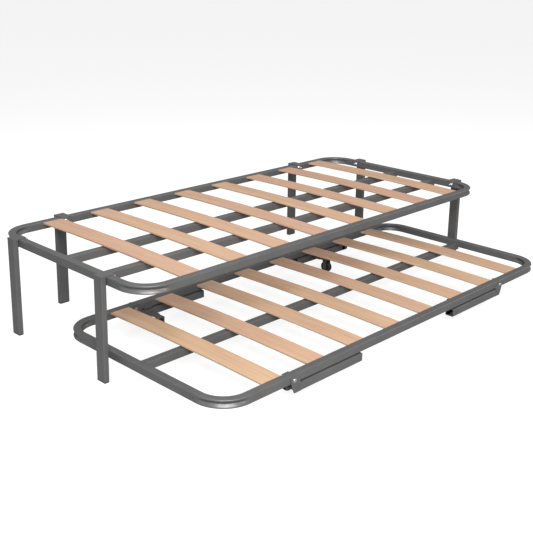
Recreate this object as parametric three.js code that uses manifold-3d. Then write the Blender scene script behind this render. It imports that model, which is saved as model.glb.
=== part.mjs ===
// Slatted bed with a pull-out trundle bed. Millimetres, +Z up.
// X is the length of the beds, -Y is the side the trundle pulls out of.
// Drawing coordinates have their origin at the upper bed's near left corner on the floor;
// the last lines move everything so that the origin is the bottom centre of the whole thing.
import * as THREE from "three";
import { mergeVertices } from "three/addons/utils/BufferGeometryUtils.js";
import Module from "manifold-3d";

// ---------------------------------------------------------------- driving dimensions
const GAP = 0.3; // clearance between neighbouring solids
const RAIL = 30; // side of the square rail tube
const WALL = 1.5; // tube wall
const BEND = 120; // outer radius of the frame corners

const UPPER = { x: 0, y: 0, length: 2000, width: 900, top: 380 };
const TRUNDLE = { x: 16, y: -356.5, length: 1955, width: 865, top: 105 };

const SLAT_WIDTH = 85;
const SLAT_THICK = 8;
const SLAT_BOW = 6; // rise of the middle of a slat over its ends
const SLAT_DROP = 2.5; // slat ends sit this far below the top of the rail
const SLAT_TAIL = 12; // length of a slat hidden in the rail
const UPPER_SLATS = { count: 8, first: 232, pitch: 224.5 };
const TRUNDLE_SLATS = { count: 8, first: 262, pitch: 214.5 };

const BAR_DROP = 9; // a longitudinal bar's top below the top of the rail
const UPPER_BARS = [250, 475]; // distance of each bar's centre from the near edge
const TRUNDLE_BAR = 428.5;

const LEG = { width: 45, depth: 20, stand: 2.5, foot: 4 }; // stand: gap between leg and rail
const CLAMP_PLATE = 3;
const CLAMP_DROP = 28;
const CLAMP_TAB = 30; // width of the tab on the rail's inner face
const BOLT_R = 4;

const FOLD = {
  pivots: [335, 1612], // pivot positions along X
  length: 352, // pivot to free end
  tube: 30, // height of the leg tube
  below: 17, // pivot to the tube's top face
  start: 21, // pivot to the start of the tube proper
  ear: 2, // thickness of the ears
  side: 0.7, // gap between ear and rail
  earR: 17.5,
};
const WHEEL = { r: 25, width: 20, hub: 4.4, x: [395, 1380], inset: [86, 103.5] }; // inset: near and far rail
const AXLE_R = 4;

// ---------------------------------------------------------------- helpers
const wasm = await Module();
wasm.setup();

function solid(geometry) {
  const g = geometry.index ? geometry.toNonIndexed() : geometry.clone();
  g.deleteAttribute("normal");
  g.deleteAttribute("uv");
  const m = mergeVertices(g, 1e-4);
  return new wasm.Manifold(
    new wasm.Mesh({
      numProp: 3,
      vertProperties: new Float32Array(m.attributes.position.array),
      triVerts: new Uint32Array(m.index.array),
    }),
  );
}

// A box given by its low and high corners.
function block(x0, y0, z0, x1, y1, z1) {
  const g = new THREE.BoxGeometry(x1 - x0, y1 - y0, z1 - z0);
  g.translate((x0 + x1) / 2, (y0 + y1) / 2, (z0 + z1) / 2);
  return solid(g);
}

// A cylinder from a to b along one axis ("x", "y" or "z"); n sides.
function rod(axis, r, a, b, cx, cy, cz, n = 24) {
  const g = new THREE.CylinderGeometry(r, r, b - a, n);
  if (axis === "x") g.rotateZ(Math.PI / 2);
  if (axis === "z") g.rotateX(Math.PI / 2);
  const mid = (a + b) / 2;
  g.translate(axis === "x" ? mid : cx, axis === "y" ? mid : cy, axis === "z" ? mid : cz);
  return solid(g);
}

function roundedRect(x, y, w, h, r) {
  const s = new THREE.Shape();
  const q = Math.PI / 2;
  s.absarc(x + w - r, y + r, r, -q, 0, false);
  s.absarc(x + w - r, y + h - r, r, 0, q, false);
  s.absarc(x + r, y + h - r, r, q, 2 * q, false);
  s.absarc(x + r, y + r, r, 2 * q, 3 * q, false);
  s.closePath();
  return s;
}

// A flat ring: a rounded rectangle with a smaller one cut out of it, from z0 to z1.
function ring(bed, out, inn, z0, z1) {
  const { x, y, length, width } = bed;
  const opt = { depth: z1 - z0, bevelEnabled: false, curveSegments: 14 };
  const shape = roundedRect(x + out, y + out, length - 2 * out, width - 2 * out, BEND - out);
  const hole = roundedRect(x + inn, y + inn, length - 2 * inn, width - 2 * inn, BEND - inn);
  shape.holes.push(hole);
  const g = new THREE.ExtrudeGeometry(shape, opt);
  g.translate(0, 0, z0);
  return solid(g);
}

const group = new THREE.Group();
group.name = "trundle_bed";

function add(name, manifold, color, metalness = 0.6, roughness = 0.5) {
  const mesh = manifold.getMesh();
  const g = new THREE.BufferGeometry();
  g.setAttribute("position", new THREE.BufferAttribute(new Float32Array(mesh.vertProperties), 3));
  g.setIndex(new THREE.BufferAttribute(new Uint32Array(mesh.triVerts), 1));
  g.computeVertexNormals();
  const material = new THREE.MeshStandardMaterial({ color, metalness, roughness });
  const m = new THREE.Mesh(g, material);
  m.name = name;
  group.add(m);
}

const STEEL = 0x55565a;
const ZINC = 0xb9bbbd;
const WOOD = 0xd9b48f;
const BLACK = 0x1d1d1f;

// ---------------------------------------------------------------- frames, bars and slats
const slatCentres = (s) => Array.from({ length: s.count }, (_, i) => s.first + i * s.pitch);

// One bent square tube with a slot in its inner wall for both ends of every slat.
function frameTube(bed, slats) {
  const z1 = bed.top;
  const z0 = bed.top - RAIL;
  let tube = ring(bed, 0, RAIL, z0, z1).subtract(
    ring(bed, WALL, RAIL - WALL, z0 + WALL, z1 - WALL),
  );
  const zTop = bed.top - SLAT_DROP + 0.9;
  const zLow = bed.top - SLAT_DROP - SLAT_THICK - 0.5;
  const half = SLAT_WIDTH / 2 + 0.8;
  for (const c of slatCentres(slats)) {
    const nearY = bed.y + RAIL;
    const farY = bed.y + bed.width - RAIL;
    tube = tube.subtract(block(c - half, nearY - 4, zLow, c + half, nearY + 4, zTop));
    tube = tube.subtract(block(c - half, farY - 4, zLow, c + half, farY + 4, zTop));
  }
  // two small assembly holes through the outer wall of each end rail, near the bends
  for (const y of [bed.y + BEND + 12, bed.y + bed.width - BEND - 12]) {
    tube = tube.subtract(rod("x", 2.5, bed.x - 2, bed.x + 4, 0, y, z0 + 15, 12));
    const xr = bed.x + bed.length;
    tube = tube.subtract(rod("x", 2.5, xr - 4, xr + 2, 0, y, z0 + 15, 12));
  }
  return tube;
}

// A straight square tube between the two end rails.
function barTube(bed, yc) {
  const z1 = bed.top - BAR_DROP;
  const z0 = z1 - RAIL;
  const a = bed.x + RAIL + GAP;
  const b = bed.x + bed.length - RAIL - GAP;
  const y0 = yc - RAIL / 2;
  const y1 = yc + RAIL / 2;
  return block(a, y0, z0, b, y1, z1).subtract(
    block(a - 1, y0 + WALL, z0 + WALL, b + 1, y1 - WALL, z1 - WALL),
  );
}

// A slat bowed upwards, from rail to rail, its ends a little way inside the rail tubes.
function slatBody(bed, xc) {
  const y0 = bed.y + RAIL - SLAT_TAIL;
  const y1 = bed.y + bed.width - RAIL + SLAT_TAIL;
  const base = bed.top - SLAT_DROP - SLAT_THICK;
  const n = 13;
  const rise = (t) => 4 * t * (1 - t) * SLAT_BOW;
  const shape = new THREE.Shape();
  for (let i = 0; i <= n; i++) {
    const t = i / n;
    const y = y0 + (y1 - y0) * t;
    if (i === 0) shape.moveTo(y, base);
    else shape.lineTo(y, base + rise(t));
  }
  for (let i = n; i >= 0; i--) {
    const t = i / n;
    shape.lineTo(y0 + (y1 - y0) * t, base + SLAT_THICK + rise(t));
  }
  shape.closePath();
  const g = new THREE.ExtrudeGeometry(shape, { depth: SLAT_WIDTH, bevelEnabled: false });
  // shape x -> Y, shape y -> Z, depth -> X
  const m = new THREE.Matrix4().set(0, 0, 1, xc - SLAT_WIDTH / 2, 1, 0, 0, 0, 0, 1, 0, 0, 0, 0, 0, 1);
  g.applyMatrix4(m);
  return solid(g);
}

add("upper_frame", frameTube(UPPER, UPPER_SLATS), STEEL);
UPPER_BARS.forEach((y, i) => add("upper_bar_" + (i + 1), barTube(UPPER, UPPER.y + y), STEEL));
slatCentres(UPPER_SLATS).forEach((x, i) =>
  add("upper_slat_" + (i + 1), slatBody(UPPER, x), WOOD, 0, 0.6),
);

// The trundle's single bar is welded in, so it is one piece with the frame.
const reach = block(
  TRUNDLE.x + RAIL - WALL / 2, TRUNDLE.y + TRUNDLE_BAR - RAIL / 2, TRUNDLE.top - BAR_DROP - RAIL,
  TRUNDLE.x + TRUNDLE.length - RAIL + WALL / 2, TRUNDLE.y + TRUNDLE_BAR + RAIL / 2,
  TRUNDLE.top - BAR_DROP,
);
const reachBore = block(
  TRUNDLE.x + RAIL + 4, TRUNDLE.y + TRUNDLE_BAR - RAIL / 2 + WALL,
  TRUNDLE.top - BAR_DROP - RAIL + WALL, TRUNDLE.x + TRUNDLE.length - RAIL - 4,
  TRUNDLE.y + TRUNDLE_BAR + RAIL / 2 - WALL, TRUNDLE.top - BAR_DROP - WALL,
);
// small drain hole in the bar's underside, half-way along
const drain = rod("z", 3, TRUNDLE.top - BAR_DROP - RAIL - 2, TRUNDLE.top - BAR_DROP - RAIL + 3,
  TRUNDLE.x + TRUNDLE.length / 2, TRUNDLE.y + TRUNDLE_BAR, 0, 12);
const pivotZ = TRUNDLE.top - RAIL / 2 - 3;
let trundleTube = frameTube(TRUNDLE, TRUNDLE_SLATS).add(reach.subtract(reachBore).subtract(drain));
for (const x of FOLD.pivots) {
  for (const y of [TRUNDLE.y, TRUNDLE.y + TRUNDLE.width - RAIL]) {
    trundleTube = trundleTube.subtract(rod("y", BOLT_R + GAP, y - 2, y + RAIL + 2, x, 0, pivotZ));
  }
}
add("trundle_frame", trundleTube, STEEL);
slatCentres(TRUNDLE_SLATS).forEach((x, i) =>
  add("trundle_slat_" + (i + 1), slatBody(TRUNDLE, x), WOOD, 0, 0.6),
);

// ---------------------------------------------------------------- fixed legs
// Drawn in a local frame: the rail's outer face is u = 0 with u growing inwards to the bed,
// v runs along the rail, then turned onto its side of the bed.
function onSide(side, at) {
  const { x, y, length, width } = UPPER;
  const m = new THREE.Matrix4();
  if (side === "left") m.set(1, 0, 0, x, 0, 1, 0, y + at, 0, 0, 1, 0, 0, 0, 0, 1);
  if (side === "right") m.set(-1, 0, 0, x + length, 0, -1, 0, y + at, 0, 0, 1, 0, 0, 0, 0, 1);
  if (side === "far") m.set(0, 1, 0, x + at, -1, 0, 0, y + width, 0, 0, 1, 0, 0, 0, 0, 1);
  return m;
}

// Column-major list of a matrix, as manifold wants it.
const turned = (manifold, m) => manifold.transform(Array.from(m.elements));

function legTube() {
  const { width, depth, stand, foot } = LEG;
  const u0 = -stand - depth;
  const u1 = -stand;
  const h = width / 2;
  const top = UPPER.top - GAP;
  return block(u0, -h, foot + GAP, u1, h, top).subtract(
    block(u0 + WALL, -h + WALL, foot, u1 - WALL, h - WALL, top + 1),
  );
}

function footCap() {
  const { width, depth, stand, foot } = LEG;
  const u0 = -stand - depth;
  const h = width / 2;
  const c = WALL + GAP;
  return block(u0, -h, 0, -stand, h, foot).add(
    block(u0 + c, -h + c, foot - 0.1, -stand - c, h - c, foot + 16),
  );
}

// The plate that covers the leg, hooks over the rail and runs down its inner face.
function clampHook() {
  const { width, depth, stand } = LEG;
  const h = width / 2;
  const z = UPPER.top + GAP;
  const inner = RAIL + GAP;
  const top = block(-stand - depth, -h, z, inner + CLAMP_PLATE, h, z + CLAMP_PLATE);
  const t = CLAMP_TAB / 2;
  const tab = block(inner, -t, UPPER.top - CLAMP_DROP, inner + CLAMP_PLATE, t, z + 1);
  const plug = block(-stand - depth + WALL + GAP, -h + WALL + GAP, z - 12,
    -stand - WALL - GAP, h - WALL - GAP, z + 0.5);
  const hole = rod("x", BOLT_R + GAP, inner - 1, inner + CLAMP_PLATE + 1, 0, 0, UPPER.top - 13);
  return top.add(tab).add(plug).subtract(hole);
}

// Hex nut and the end of its bolt, on the inner face of the hook.
function clampBolt() {
  const z = UPPER.top - 13;
  const a = RAIL + GAP + CLAMP_PLATE + GAP;
  return rod("x", 7.5, a, a + 6.5, 0, 0, z, 6).add(rod("x", BOLT_R, a - 3, a + 17, 0, 0, z, 20));
}

const LEGS = [
  ["left_near", "left", 207.5],
  ["left_far", "left", 757.5],
  ["far_left", "far", 292],
  ["far_right", "far", 1684.5],
  ["right_far", "right", 722.5],
  ["right_near", "right", 139.5],
];
for (const [name, side, at] of LEGS) {
  const m = onSide(side, at);
  add("leg_" + name, turned(legTube(), m), STEEL);
  add("foot_" + name, turned(footCap(), m), BLACK, 0, 0.6);
  add("clamp_" + name, turned(clampHook(), m), STEEL);
  add("clamp_bolt_" + name, turned(clampBolt(), m), ZINC, 0.9, 0.35);
}

// ---------------------------------------------------------------- trundle: folding legs
// Local frame: the pivot is the origin, the folded leg runs along +x under the rail,
// y is measured from the rail's outer face inwards.
function foldingLeg() {
  const { length, tube, below, start, ear, side, earR } = FOLD;
  const y0 = -side - ear;
  const y1 = RAIL + side + ear;
  const z1 = -below;
  const z0 = -below - tube;
  const body = block(start, y0, z0, length, y1, z1).subtract(
    block(start - 1, y0 + ear, z0 + WALL, length + 1, y1 - ear, z1 - WALL),
  );
  // an ear is a disc round the pivot blended into the tube's side by straight edges
  const outline = new THREE.Shape();
  const a0 = Math.PI * 0.28;
  const a1 = Math.PI * 1.19;
  outline.absarc(0, 0, earR, a0, a1, false);
  outline.lineTo(-2, z0);
  outline.lineTo(start + 12, z0);
  outline.lineTo(start + 12, z1);
  outline.closePath();
  const earPlate = (ya, yb) => {
    const g = new THREE.ExtrudeGeometry(outline, {
      depth: yb - ya, bevelEnabled: false, curveSegments: 20,
    });
    g.applyMatrix4(new THREE.Matrix4().set(1, 0, 0, 0, 0, 0, -1, yb, 0, 1, 0, 0, 0, 0, 0, 1));
    return solid(g).subtract(rod("y", BOLT_R + GAP, ya - 1, yb + 1, 0, 0, 0));
  };
  return body.add(earPlate(y0, y0 + ear)).add(earPlate(y1 - ear, y1));
}

// Low domed head, washer-like flange, and on the inner side a nut.
function pivotBolt() {
  const { ear, side } = FOLD;
  const y0 = -side - ear - GAP;
  const y1 = RAIL + side + ear + GAP;
  return rod("y", BOLT_R, y0 - 0.5, y1 + 6, 0, 0, 0)
    .add(rod("y", 8, y0 - 1.6, y0, 0, 0, 0))
    .add(rod("y", 6.2, y0 - 3.4, y0 - 1.5, 0, 0, 0))
    .add(rod("y", 7, y1, y1 + 5.5, 0, 0, 0, 6));
}

// A wheel with a flat tread, rounded shoulders and recessed sides.
function wheelBody() {
  const { r, width, hub } = WHEEL;
  const h = width / 2;
  const rim = r - 5;
  const boss = 9;
  const profile = [
    [hub, -h], [boss, -h], [boss + 1.5, -h + 3.5], [rim - 1.5, -h + 3.5], [rim, -h],
    [r - 2, -h], [r - 0.6, -h + 0.8], [r, -h + 2.5],
    [r, h - 2.5], [r - 0.6, h - 0.8], [r - 2, h], [rim, h],
    [rim - 1.5, h - 3.5], [boss + 1.5, h - 3.5], [boss, h], [hub, h], [hub, -h],
  ].map(([a, b]) => new THREE.Vector2(a, b));
  const g = new THREE.LatheGeometry(profile, 40);
  g.rotateZ(Math.PI / 2);
  return solid(g);
}

// Stepped bracket on the rail's inner face with a fork for the wheel and a riveted axle.
// Local: y = 0 is the rail's inner face with y growing to the middle of the bed.
function wheelBracket(arm) {
  const zTop = TRUNDLE.top - RAIL - 4.5; // ledge above the folded leg
  const zArm = 2 * WHEEL.r + 6; // arm just over the wheel
  const fork = WHEEL.width / 2 + 2.5;
  let b = block(-20, GAP, zTop, 20, GAP + 3, TRUNDLE.top - 14)
    .add(block(-20, GAP, zTop, 20, 8, zTop + 3))
    .add(block(-20, 5, zArm, 20, 8, zTop + 3))
    .add(block(-20, 5, zArm, 20, arm - 24, zArm + 3))
    .add(block(-fork - 2.5, arm - 26, zArm, fork + 2.5, arm + 11, zArm + 3));
  for (const s of [-1, 1]) {
    const x0 = s > 0 ? fork : -fork - 2.5;
    const shape = new THREE.Shape();
    shape.moveTo(arm - 11, zArm + 1);
    shape.lineTo(arm - 9, WHEEL.r);
    shape.absarc(arm, WHEEL.r, 9, Math.PI, 2 * Math.PI, false);
    shape.lineTo(arm + 11, zArm + 1);
    shape.closePath();
    const g = new THREE.ExtrudeGeometry(shape, { depth: 2.5, bevelEnabled: false, curveSegments: 12 });
    g.applyMatrix4(new THREE.Matrix4().set(0, 0, 1, x0, 1, 0, 0, 0, 0, 1, 0, 0, 0, 0, 0, 1));
    b = b.add(solid(g));
  }
  b = b.add(rod("x", AXLE_R, -fork - 5, fork + 5, 0, arm, WHEEL.r));
  for (const x of [-13, 13]) b = b.add(rod("y", 5, GAP + 2, GAP + 6, x, 0, TRUNDLE.top - 20.5, 6));
  return b;
}

// Puts a piece drawn from a rail's outer face on the near or far rail, facing left or right.
function onRail(far, flip, x, z) {
  const y = far ? TRUNDLE.y + TRUNDLE.width : TRUNDLE.y;
  const sx = flip ? -1 : 1;
  const sy = far ? -1 : 1;
  return new THREE.Matrix4().set(sx, 0, 0, x, 0, sy, 0, y, 0, 0, 1, z, 0, 0, 0, 1);
}

for (const far of [false, true]) {
  FOLD.pivots.forEach((x, i) => {
    const name = (far ? "far_" : "near_") + (i ? "right" : "left");
    const m = onRail(far, i === 1, x, pivotZ);
    add("folding_leg_" + name, turned(foldingLeg(), m), STEEL);
    add("pivot_bolt_" + name, turned(pivotBolt(), m), ZINC, 0.9, 0.35);
  });
  WHEEL.x.forEach((x, i) => {
    const name = (far ? "far_" : "near_") + (i ? "right" : "left");
    const m = onRail(far, false, x, 0);
    const inset = WHEEL.inset[far ? 1 : 0];
    m.elements[13] += (far ? -1 : 1) * RAIL;
    add("wheel_bracket_" + name, turned(wheelBracket(inset - RAIL), m), STEEL);
    const at = new THREE.Matrix4().makeTranslation(
      x, (far ? TRUNDLE.y + TRUNDLE.width - inset : TRUNDLE.y + inset), WHEEL.r,
    );
    add("wheel_" + name, turned(wheelBody(), at), BLACK, 0, 0.6);
  });
}

// ---------------------------------------------------------------- shared frame
const nearMost = TRUNDLE.y - FOLD.side - FOLD.ear - GAP - 3.4;
const farMost = UPPER.y + UPPER.width + LEG.stand + LEG.depth;
group.position.set(-(UPPER.x + UPPER.length / 2), -(nearMost + farMost) / 2, 0);

export default group;
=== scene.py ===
import math

import bmesh
import bpy
from bpy.props import FloatProperty, FloatVectorProperty, IntProperty, PointerProperty
from mathutils import Matrix, Vector


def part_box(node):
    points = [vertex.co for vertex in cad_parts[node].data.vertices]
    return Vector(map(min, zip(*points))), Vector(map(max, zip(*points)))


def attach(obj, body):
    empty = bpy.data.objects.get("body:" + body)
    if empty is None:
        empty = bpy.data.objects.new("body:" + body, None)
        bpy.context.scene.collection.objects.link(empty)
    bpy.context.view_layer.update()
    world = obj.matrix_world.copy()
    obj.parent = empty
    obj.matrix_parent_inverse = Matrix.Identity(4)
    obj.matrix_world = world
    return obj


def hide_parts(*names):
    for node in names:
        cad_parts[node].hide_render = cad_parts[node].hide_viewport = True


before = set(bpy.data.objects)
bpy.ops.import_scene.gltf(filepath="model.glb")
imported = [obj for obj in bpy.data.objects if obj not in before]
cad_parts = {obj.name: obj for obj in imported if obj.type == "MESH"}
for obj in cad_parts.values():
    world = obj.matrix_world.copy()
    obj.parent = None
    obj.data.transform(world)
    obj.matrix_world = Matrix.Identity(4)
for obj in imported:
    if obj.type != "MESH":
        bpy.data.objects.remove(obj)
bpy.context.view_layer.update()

bl_info = {
    "name": "Trundle bed",
    "version": (1, 0, 0),
    "blender": (4, 5, 0),
    "location": "3D View > Sidebar > Trundle bed",
    "description": "Builds a slatted bed with a pull-out bed around its CAD frame",
    "category": "Add Mesh",
}

MM = 0.001
X, Y = Vector((1, 0, 0)), Vector((0, 1, 0))
QUARTER = math.pi / 2
SLAT_COUNT = 8
LEGS = ("left_near", "left_far", "far_left", "far_right", "right_far", "right_near")
CORNERS = ("near_left", "near_right", "far_left", "far_right")

# The finishes, by the names of their materials.
# Two of the steel's finishes are painted light: a painted shade in the folds of the
# bends and a painted highlight on the rounded edges.
PAINT, CREASE, EDGE_HIGHLIGHT = "powder_coated_steel", "bruised_coat", "rubbed_coat"
BEECH, EDGE = "rotary_cut_beech", "sawn_veneer_edge"
ZINC, PLASTIC, WHEEL = "bright_zinc", "moulded_polypropylene", "wheel_polypropylene"
RAIL_FINISHES = [PAINT, CREASE, EDGE_HIGHLIGHT]

# Steps of place that tell one slat from the next, along the bed and in height.
SLAT_PITCH, BED_STEP = 0.2245, 0.2
# The middle range of a noise, in which nearly all of its values lie.
NOISE_LOW, NOISE_HIGH = 0.3, 0.7
# A face whose normal is this close to an axis is square to it.
SQUARE = 0.985
SMOOTH_UNDER = math.radians(40)

# The stage, in metres, radians and millimetres of lens.
FLOOR_SIZE, FLOOR_HEIGHT = 160, -0.0005
GLOW_ON_BED, GLOW_SEEN = 0.1, 0.82
CAMERA_PLACE = (-2.63176, -2.41385, 1.41762)
YAW, PITCH, ROLL = 0.7988, -0.2678, 0.0153
LENS, SHIFT = 60.597, -0.1248


# ---------------------------------------------------------- colours and nodes
def srgb(code):
    """A hex colour as linear red, green and blue."""
    parts = [int(code[i : i + 2], 16) / 255 for i in (1, 3, 5)]
    return [c / 12.92 if c <= 0.04045 else ((c + 0.055) / 1.055) ** 2.4 for c in parts]


def node(tree, kind, inputs=None, **settings):
    """Adds a node. A value of inputs is a number, a colour or another node's output."""
    made = tree.nodes.new(kind)
    for key, value in settings.items():
        setattr(made, key, value)
    for key, value in (inputs or {}).items():
        if isinstance(value, bpy.types.NodeSocket):
            tree.links.new(value, made.inputs[key])
        else:
            made.inputs[key].default_value = value
    return made


def shaded(colour, factor):
    """A linear colour made lighter or darker, with its alpha."""
    return [min(1.0, c * factor) for c in colour] + [1.0]


def per_mm(size):
    """The scale of a noise whose features are about size millimetres across."""
    return 1 / (size * MM)


def new_material(name, metallic, roughness):
    """A material with its shader, and the coordinates that its patterns follow."""
    mat = bpy.data.materials.new(name)
    mat.use_nodes = True
    tree = mat.node_tree
    tree.nodes.clear()
    shader = node(
        tree,
        "ShaderNodeBsdfPrincipled",
        {"Metallic": metallic, "Roughness": roughness},
    )
    node(tree, "ShaderNodeOutputMaterial", {"Surface": shader.outputs[0]})
    place = node(tree, "ShaderNodeTexCoord").outputs["Object"]
    return mat, tree, shader, place


def noise(tree, place, size, detail, rough=0.5):
    """An even noise whose features are about size millimetres across."""
    made = node(
        tree,
        "ShaderNodeTexNoise",
        {"Vector": place, "Scale": per_mm(size), "Detail": detail, "Roughness": rough},
    )
    return made.outputs["Fac"]


def drawn_out(tree, place, scale, **inputs):
    """A noise drawn out to different scales along X, Y and Z, as wood's figure is."""
    at = node(tree, "ShaderNodeMapping", {"Vector": place, "Scale": scale})
    made = node(
        tree, "ShaderNodeTexNoise", {"Vector": at.outputs[0], "Scale": 1.0, **inputs}
    )
    return made.outputs["Fac"]


def mapped(tree, value, from_low, from_high, low, high):
    """A number that goes from low to high as the value goes through its range."""
    ends = {"From Min": from_low, "From Max": from_high, "To Min": low, "To Max": high}
    made = node(tree, "ShaderNodeMapRange", {"Value": value, **ends})
    return made.outputs["Result"]


def between(tree, factor, low, high):
    """A number that goes from low to high as a noise goes through its middle range."""
    return mapped(tree, factor, NOISE_LOW, NOISE_HIGH, low, high)


def blend_colours(tree, factor, first, second):
    """Goes from the first colour to the second as the factor goes from 0 to 1."""
    made = node(
        tree, "ShaderNodeMix", {0: factor, 6: first, 7: second}, data_type="RGBA"
    )
    return made.outputs[2]


def bump(tree, height, depth, strength):
    """A normal that rises and falls by depth millimetres."""
    made = node(
        tree,
        "ShaderNodeBump",
        {"Height": height, "Distance": depth * MM, "Strength": strength},
    )
    return made.outputs["Normal"]


def powder_coated_steel(name, colour):
    """Welded mild-steel tube with a satin anthracite polyester powder coat, baked on.
    The eye gets a soft sheen, a faint orange peel and slightly uneven greys."""
    mat, tree, shader, place = new_material(name, 0.3, 0.38)
    cloud = noise(tree, place, 90, 3)
    tone = blend_colours(
        tree, between(tree, cloud, 0, 1), shaded(colour, 0.88), shaded(colour, 1.1)
    )
    # Metallic flake under 0.1 mm in the real coat, drawn at 2 mm so that it shows.
    flake = noise(tree, place, 2, 2, 0.6)
    tone = blend_colours(
        tree, between(tree, flake, 0, 0.35), tone, shaded(colour, 1.3)
    )
    # Orange peel of 1.5 mm in the real coat, drawn at 5 mm so that it shows.
    peel = noise(tree, place, 5, 2)
    tree.links.new(tone, shader.inputs["Base Color"])
    tree.links.new(between(tree, peel, 0.3, 0.44), shader.inputs["Roughness"])
    tree.links.new(bump(tree, peel, 0.12, 0.35), shader.inputs["Normal"])
    return mat


def rubbed_coat(name, colour):
    """The same coat on a tube's rounded edges, made lighter and glossier as a painted
    highlight.
    It shows as a light line along the edge, where the edges catch the light."""
    mat, tree, shader, place = new_material(name, 0.35, 0.3)
    highlight_noise = noise(tree, place, 18, 3)
    # Painted highlight: the edge is drawn 1.25 to 2.3 times as light as the paint.
    tone = blend_colours(
        tree, between(tree, highlight_noise, 0, 1), shaded(colour, 1.25), shaded(colour, 2.3)
    )
    tree.links.new(tone, shader.inputs["Base Color"])
    tree.links.new(between(tree, highlight_noise, 0.36, 0.26), shader.inputs["Roughness"])
    return mat


def bruised_coat(name, colour):
    """The same coat in the fold of a bend, dull and darkened as a painted shade for the
    shadow in the crease.
    It reads darker than the tube round it."""
    mat, tree, shader, place = new_material(name, 0.1, 0.6)
    spots = noise(tree, place, 6, 3)
    # Painted shade: the fold is drawn 0.2 to 0.5 times as light as the paint.
    tone = blend_colours(
        tree, between(tree, spots, 0, 1), shaded(colour, 0.2), shaded(colour, 0.5)
    )
    tree.links.new(tone, shader.inputs["Base Color"])
    return mat


def slat_tone(tree, place):
    """A value from 0 to 1 for each slat, from its place along the bed and height."""
    parts = node(tree, "ShaderNodeSeparateXYZ", {0: place})
    steps = []
    for axis, step in (("X", SLAT_PITCH), ("Z", BED_STEP)):
        scaled = node(
            tree,
            "ShaderNodeMath",
            {0: parts.outputs[axis], 1: 1 / step},
            operation="MULTIPLY",
        )
        steps.append(
            node(tree, "ShaderNodeMath", {0: scaled.outputs[0]}, operation="FLOOR")
        )
    key = node(
        tree, "ShaderNodeCombineXYZ", {0: steps[0].outputs[0], 1: steps[1].outputs[0]}
    )
    return node(tree, "ShaderNodeTexWhiteNoise", {"Vector": key.outputs[0]}).outputs[0]


def rotary_cut_beech(name, colour, pink):
    """Bent slat of rotary-cut beech veneers, sanded and left matt. The eye gets long
    soft figure, short dark flecks and a warmer or pinker cast from slat to slat."""
    mat, tree, shader, place = new_material(name, 0.0, 0.55)
    # Figure 14 by 300 mm, fibre 2.5 by 90 mm and flecks 1.4 by 12 mm.
    figure = drawn_out(
        tree, place, (per_mm(14), per_mm(300), 1), Detail=4.0, Distortion=0.6
    )
    fibre = drawn_out(tree, place, (per_mm(2.5), per_mm(90), 1))
    fleck = drawn_out(tree, place, (per_mm(1.4), per_mm(12), 1))
    cast = slat_tone(tree, place)
    base = blend_colours(tree, cast, shaded(colour, 1.03), shaded(pink, 0.98))
    figured = blend_colours(
        tree, between(tree, figure, 0.0, 0.7), base, shaded(pink, 0.76)
    )
    fibrous = blend_colours(
        tree, between(tree, fibre, 0.0, 0.3), figured, shaded(colour, 0.62)
    )
    dark = mapped(tree, fleck, 0.66, 0.74, 0, 0.35)
    tone = blend_colours(tree, dark, fibrous, shaded(colour, 0.5))
    tree.links.new(tone, shader.inputs["Base Color"])
    tree.links.new(between(tree, fibre, 0.5, 0.64), shader.inputs["Roughness"])
    tree.links.new(bump(tree, fibre, 0.1, 0.3), shader.inputs["Normal"])
    return mat


def sawn_veneer_edge(name, colour):
    """The sawn long edge of a slat, where the veneers show as pale and tan lines."""
    mat, tree, shader, place = new_material(name, 0.0, 0.65)
    # Veneers 1.6 mm thick, whose tone changes every 120 mm or so.
    line = drawn_out(tree, place, (1, per_mm(120), per_mm(1.6)))
    tone = blend_colours(
        tree, between(tree, line, 0.0, 1.0), shaded(colour, 1.08), shaded(colour, 0.72)
    )
    tree.links.new(tone, shader.inputs["Base Color"])
    tree.links.new(bump(tree, line, 0.1, 0.4), shader.inputs["Normal"])
    return mat


def bright_zinc(name, colour):
    """Steel bolts and nuts, barrel plated with bright zinc and so a little uneven."""
    mat, tree, shader, place = new_material(name, 1.0, 0.3)
    spots = noise(tree, place, 3, 3)
    tone = blend_colours(
        tree, between(tree, spots, 0, 1), shaded(colour, 0.86), shaded(colour, 1.05)
    )
    tree.links.new(tone, shader.inputs["Base Color"])
    tree.links.new(between(tree, spots, 0.24, 0.42), shader.inputs["Roughness"])
    return mat


def moulded_polypropylene(name, colour, roughness):
    """Injection-moulded black polypropylene, whose fine grain breaks up its shine."""
    mat, tree, shader, place = new_material(name, 0.0, roughness)
    # Mould grain of 0.3 mm, drawn at 1.2 mm so that it shows.
    grain = noise(tree, place, 1.2, 2)
    haze = noise(tree, place, 25, 2)
    tone = blend_colours(
        tree, between(tree, haze, 0, 1), shaded(colour, 0.85), shaded(colour, 1.25)
    )
    tree.links.new(tone, shader.inputs["Base Color"])
    tree.links.new(
        between(tree, grain, roughness - 0.06, roughness + 0.08),
        shader.inputs["Roughness"],
    )
    tree.links.new(bump(tree, grain, 0.08, 0.4), shader.inputs["Normal"])
    return mat


def finish_named(name):
    """The material of that name, made from the user's colours when first asked for."""
    if name in bpy.data.materials:
        return bpy.data.materials[name]
    c = bpy.context.scene.bed_colours
    maker, *values = {
        PAINT: (powder_coated_steel, c.paint),
        EDGE_HIGHLIGHT: (rubbed_coat, c.paint),
        CREASE: (bruised_coat, c.paint),
        BEECH: (rotary_cut_beech, c.wood, c.wood_pink),
        EDGE: (sawn_veneer_edge, c.wood_edge),
        ZINC: (bright_zinc, c.zinc),
        WHEEL: (moulded_polypropylene, c.wheel, 0.42),
        PLASTIC: (moulded_polypropylene, c.plastic, 0.5),
    }[name]
    return maker(name, *values)


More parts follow.
